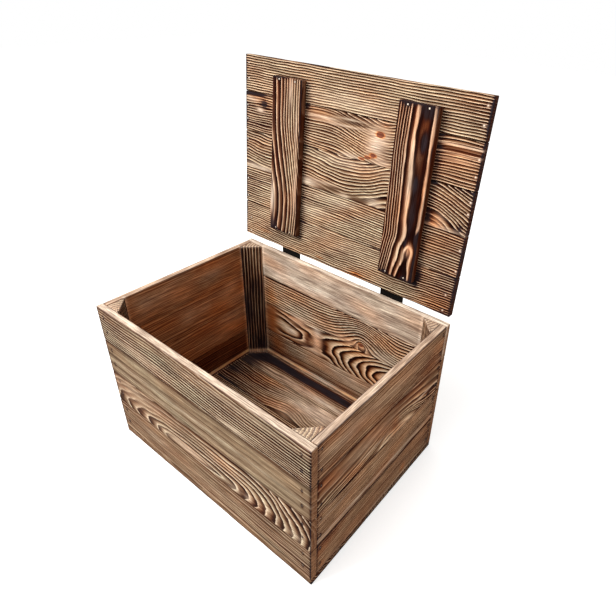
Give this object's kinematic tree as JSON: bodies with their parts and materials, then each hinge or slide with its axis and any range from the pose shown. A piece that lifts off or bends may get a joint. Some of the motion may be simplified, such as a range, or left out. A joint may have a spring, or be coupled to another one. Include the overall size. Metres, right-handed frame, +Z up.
{
  "type": "kindling box",
  "caption": "Lidded kindling box of torched pine boards nailed to triangular corner posts; its battened lid stands open on black steel hinges.",
  "frame": {"origin": "middle of the box's underside, on the surface it stands on", "axes": "+X right along the front, +Y to the back where the hinges are, +Z up"},
  "size_m": [0.5, 0.3941, 0.6821],
  "materials": {
    "wood_long_walls": "torched and brushed pine, oiled, dark growth lines",
    "wood_end_walls": "torched and brushed pine, warmer and darker",
    "wood_floor": "torched pine, charred along the walls",
    "wood_lid": "torched and brushed pine, strong grain",
    "wood_posts": "deeply charred pine with pale end grain",
    "wood_battens": "deeply torched pine, black and cream stripes",
    "brad_steel": "small brad heads, brushed bright",
    "black_steel": "black coated steel"
  },
  "bodies": {
    "box": {"front_board_1": "wood_long_walls", "front_board_2": "wood_long_walls", "front_board_3": "wood_long_walls", "front_board_4": "wood_long_walls", "back_board_1": "wood_long_walls", "back_board_2": "wood_long_walls", "back_board_3": "wood_long_walls", "back_board_4": "wood_long_walls", "left_board_1": "wood_end_walls", "left_board_2": "wood_end_walls", "left_board_3": "wood_end_walls", "left_board_4": "wood_end_walls", "right_board_1": "wood_end_walls", "right_board_2": "wood_end_walls", "right_board_3": "wood_end_walls", "right_board_4": "wood_end_walls", "floor_board_1": "wood_floor", "floor_board_2": "wood_floor", "floor_board_3": "wood_floor", "floor_board_4": "wood_floor", "floor_board_5": "wood_floor", "post_front_left": "wood_posts", "post_front_right": "wood_posts", "post_back_left": "wood_posts", "post_back_right": "wood_posts", "wall_brads": "brad_steel", "floor_brads": "brad_steel", "hinge_wall_leaf_left": "black_steel", "hinge_wall_leaf_right": "black_steel", "hinge_pin_left": "black_steel", "hinge_pin_right": "black_steel", "hinge_wall_screws": "black_steel"},
    "lid": {"lid_board_1": "wood_lid", "lid_board_2": "wood_lid", "lid_board_3": "wood_lid", "lid_board_4": "wood_lid", "lid_board_5": "wood_lid", "batten_left": "wood_battens", "batten_right": "wood_battens", "lid_brads": "brad_steel", "batten_brads": "brad_steel", "hinge_lid_leaf_left": "black_steel", "hinge_lid_leaf_right": "black_steel", "hinge_lid_screws": "black_steel"}
  },
  "joints": [
    {"name": "lid_hinge", "type": "hinge", "parent": "box", "child": "lid", "pos_m": [0, 0.18505, 0.3221], "axis": [1, 0, 0], "range_deg": [0, 94.5]}
  ]
}
